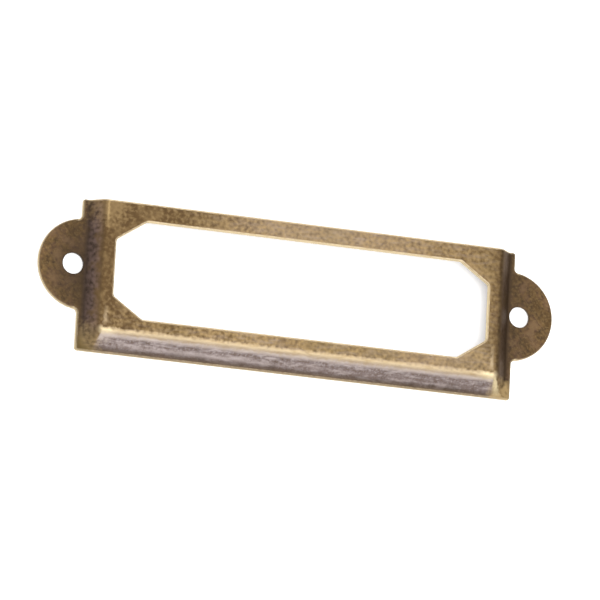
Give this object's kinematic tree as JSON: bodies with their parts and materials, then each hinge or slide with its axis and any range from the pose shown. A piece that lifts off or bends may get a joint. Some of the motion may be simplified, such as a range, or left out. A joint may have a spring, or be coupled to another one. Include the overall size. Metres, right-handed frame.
{
  "type": "label frame",
  "caption": "Pressed sheet label frame with a raised panel, an eight-sided window, sloped ends and lower lip, an open upper edge for a card, and a round screw ear at each end.",
  "frame": {"origin": "centre of the frame's box on its back plane", "axes": "+X along the frame's length, +Y up its face towards the open edge, +Z out of its front"},
  "size_m": [0.076, 0.0212, 0.0024],
  "materials": {
    "antique_bronze": "antique bronze plating on pressed steel, satin, raised edges relieved"
  },
  "bodies": {
    "root": {"label_frame": "antique_bronze"}
  },
  "joints": []
}
